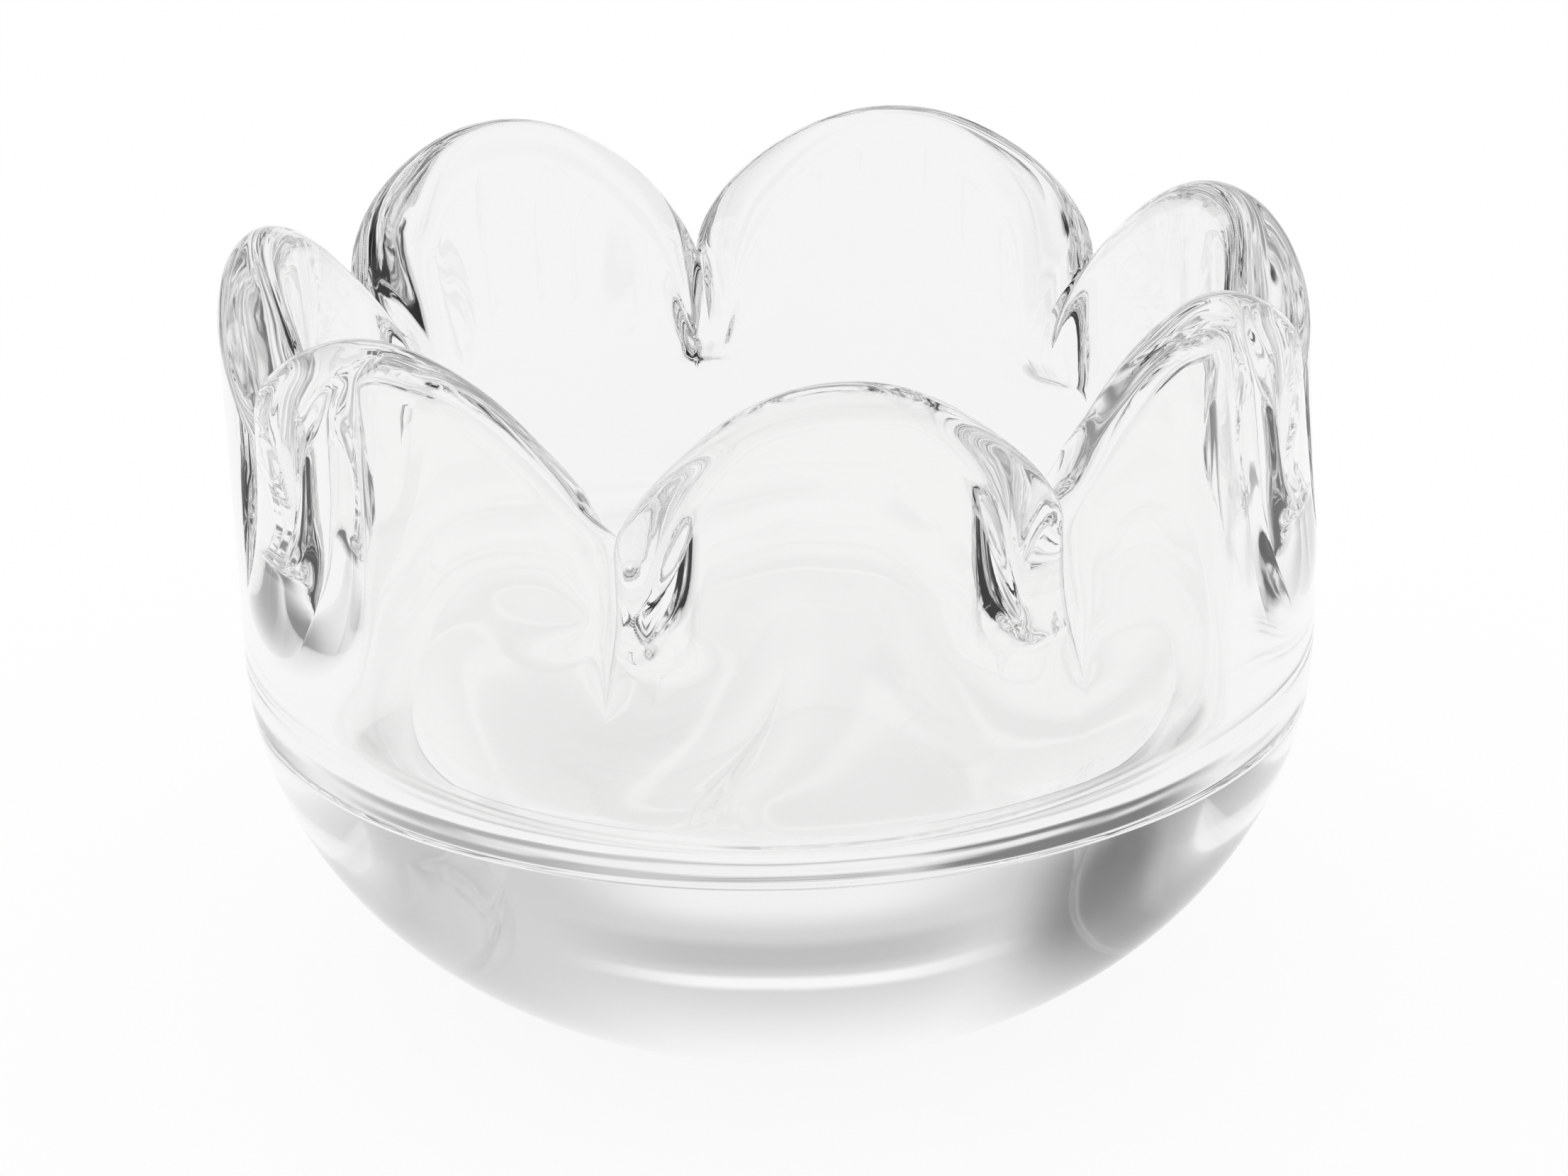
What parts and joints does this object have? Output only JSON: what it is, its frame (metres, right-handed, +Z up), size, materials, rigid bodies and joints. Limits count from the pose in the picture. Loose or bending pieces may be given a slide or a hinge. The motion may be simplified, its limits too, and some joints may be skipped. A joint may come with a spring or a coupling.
{
  "type": "floating candle bowl",
  "caption": "Thick clear crystal bowl with a solid round base and a rim crimped into rounded petals, filled with water to float a candle.",
  "frame": {"origin": "middle of the flat ground foot, on the surface that the bowl stands on", "axes": "+Z up along the bowl's axis, -Y towards the front petal, +X to the right as seen from the front"},
  "size_m": [0.13, 0.13, 0.0972],
  "materials": {
    "clear_crystal": "clear, fire polished, with a ground and polished foot"
  },
  "bodies": {
    "root": {"solid_base": "clear_crystal", "petal_front": "clear_crystal", "petal_right_front": "clear_crystal", "petal_right_back": "clear_crystal", "petal_back_right": "clear_crystal", "petal_back_left": "clear_crystal", "petal_left": "clear_crystal", "petal_front_left": "clear_crystal"}
  },
  "joints": []
}
